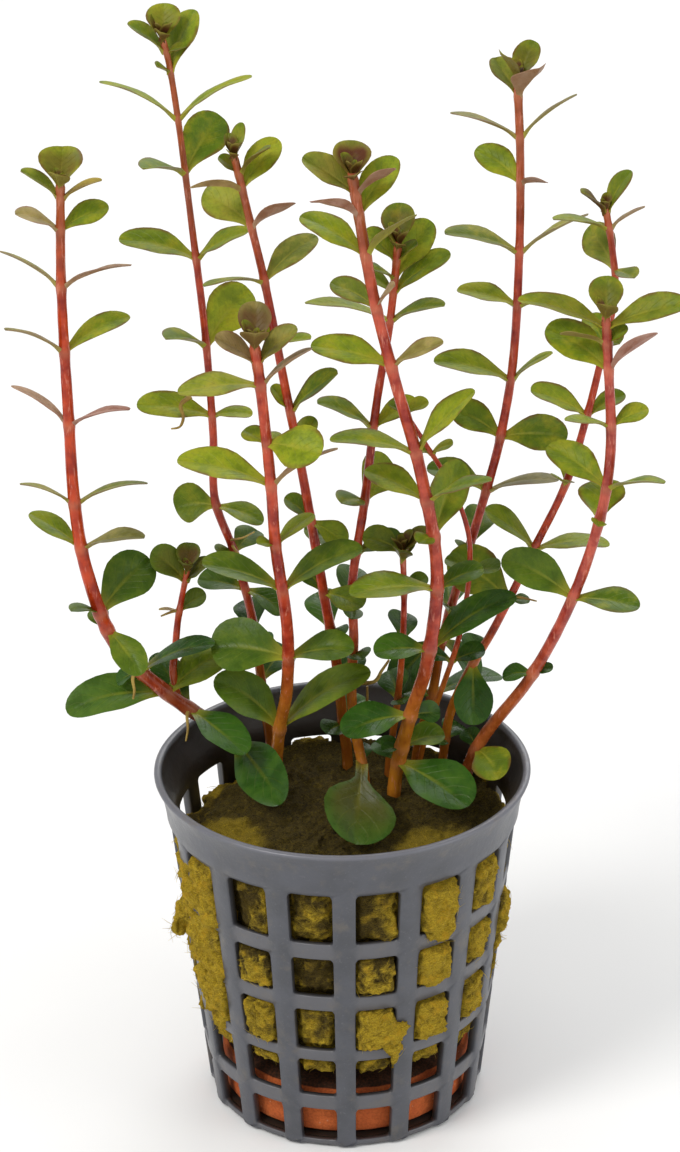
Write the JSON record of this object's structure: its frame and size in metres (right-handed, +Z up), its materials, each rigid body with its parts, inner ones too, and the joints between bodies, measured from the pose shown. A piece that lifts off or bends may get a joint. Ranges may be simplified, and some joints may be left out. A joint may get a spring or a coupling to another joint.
{
  "type": "potted aquarium plant",
  "caption": "Red-stemmed aquarium plant with paired green leaves, rooted in a rock wool plug in a slotted net pot that stands on its flat floor.",
  "frame": {"origin": "centre of the net pot's underside", "axes": "+Z up along the pot's axis, -Y towards the front"},
  "size_m": [0.0894, 0.0518, 0.1544],
  "materials": {
    "plastic": "moulded satin slate grey plastic",
    "wool": "damp matted mineral fibre, ochre to dark olive brown",
    "clay": "matt unglazed terracotta",
    "plant": "waxy green leaves on glossy red stems"
  },
  "bodies": {
    "root": {"net_pot": "plastic", "wool_plug": "wool", "clay_weight": "clay", "shoot_far_left": "plant", "shoot_far_left_side": "plant", "shoot_left_tall": "plant", "shoot_left_middle": "plant", "shoot_front": "plant", "shoot_centre": "plant", "shoot_back_middle": "plant", "shoot_right_tall": "plant", "shoot_right_back": "plant", "shoot_right_front": "plant", "shoot_thin": "plant", "shoot_inner": "plant"}
  },
  "joints": []
}
